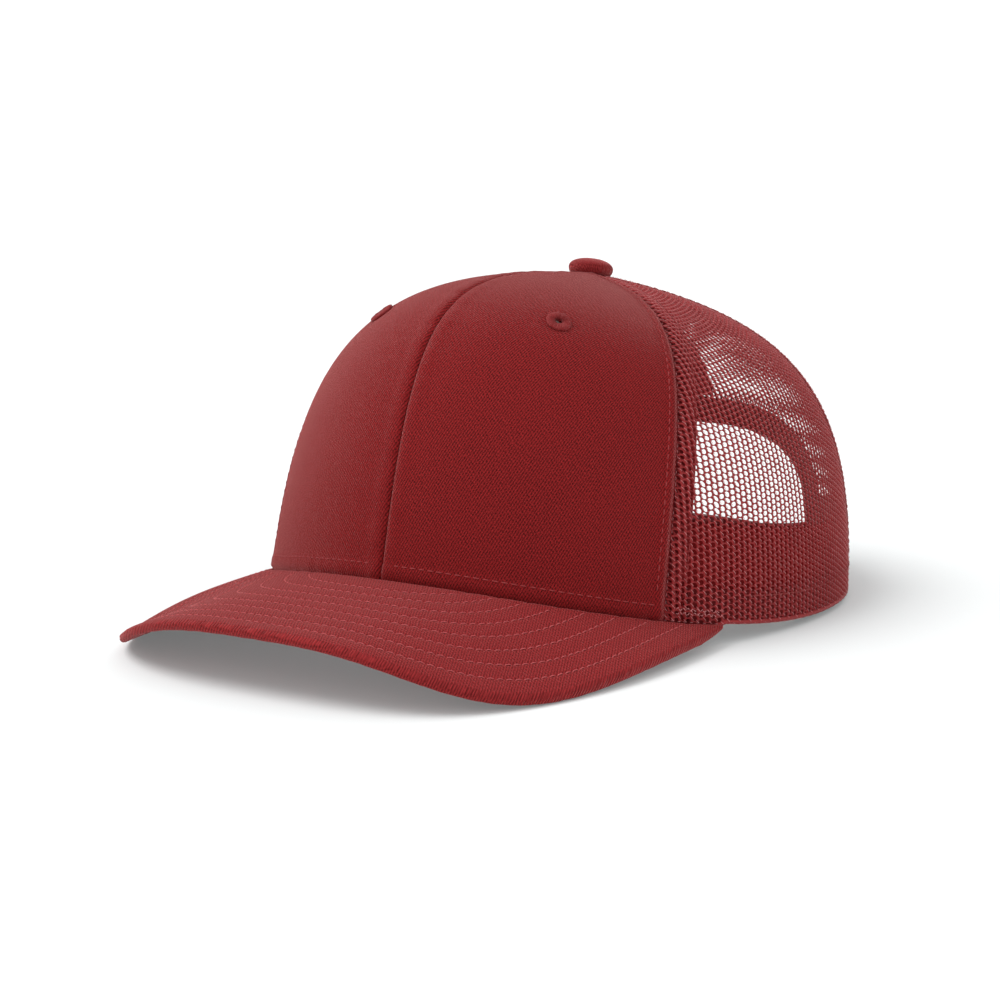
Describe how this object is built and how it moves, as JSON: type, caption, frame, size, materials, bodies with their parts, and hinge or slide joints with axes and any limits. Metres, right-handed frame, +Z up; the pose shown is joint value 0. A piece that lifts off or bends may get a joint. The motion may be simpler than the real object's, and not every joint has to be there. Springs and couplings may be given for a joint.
{
  "type": "trucker mesh cap",
  "caption": "Soft cap with a stiffened twill front, open mesh sides and back, a curved visor, a covered top button and an adjustable snap strap across a rear arch.",
  "frame": {"origin": "centre of the head opening, on the plane that the cap rests on", "axes": "+Z up through the crown, -Y towards the visor, +X towards the wearer's left"},
  "size_m": [0.1824, 0.2628, 0.1071],
  "materials": {
    "cotton_twill": "cotton twill, fine diagonal ribs",
    "mesh_net": "open polyester net",
    "buckram": "stiff open-weave buckram",
    "seam_tape": "plain woven tape",
    "binding": "plain woven binding",
    "sweatband": "cotton twill sweatband",
    "padding": "thin non-woven padding",
    "visor_board": "stiff moulded sheet",
    "button_metal": "pressed steel",
    "eyelet_thread": "embroidery thread",
    "strap_plastic": "soft moulded plastic"
  },
  "bodies": {
    "cap": {"front_panel_left": "cotton_twill", "front_panel_right": "cotton_twill", "side_mesh_left": "mesh_net", "side_mesh_right": "mesh_net", "back_mesh_left": "mesh_net", "back_mesh_right": "mesh_net", "front_buckram_left": "buckram", "front_buckram_right": "buckram", "centre_front_tape": "seam_tape", "front_side_tape_left": "seam_tape", "front_side_tape_right": "seam_tape", "side_back_tape_left": "seam_tape", "side_back_tape_right": "seam_tape", "centre_back_tape": "seam_tape", "rim_binding_left": "binding", "rim_binding_right": "binding", "arch_binding": "binding", "sweatband": "sweatband", "sweatband_padding": "padding", "visor_board": "visor_board", "visor_top_cover": "cotton_twill", "visor_under_cover": "cotton_twill", "visor_seam_tab": "cotton_twill", "button_cover": "cotton_twill", "button_shell": "button_metal", "button_tack": "button_metal", "eyelet_left": "eyelet_thread", "eyelet_right": "eyelet_thread", "hole_strap_tab": "strap_plastic", "peg_strap_tab": "strap_plastic"},
    "hole_band": {"hole_strap": "strap_plastic"},
    "peg_band": {"peg_strap": "strap_plastic"}
  },
  "joints": [
    {"name": "hole_strap_swing", "type": "hinge", "parent": "cap", "child": "hole_band", "pos_m": [0.0461, 0.07236, 0.0058], "axis": [0, 0, -1], "range_deg": [0, 80]},
    {"name": "peg_strap_swing", "type": "hinge", "parent": "cap", "child": "peg_band", "pos_m": [-0.04529, 0.0711, 0.0058], "axis": [0, 0, -1], "range_deg": [0, 40]}
  ]
}
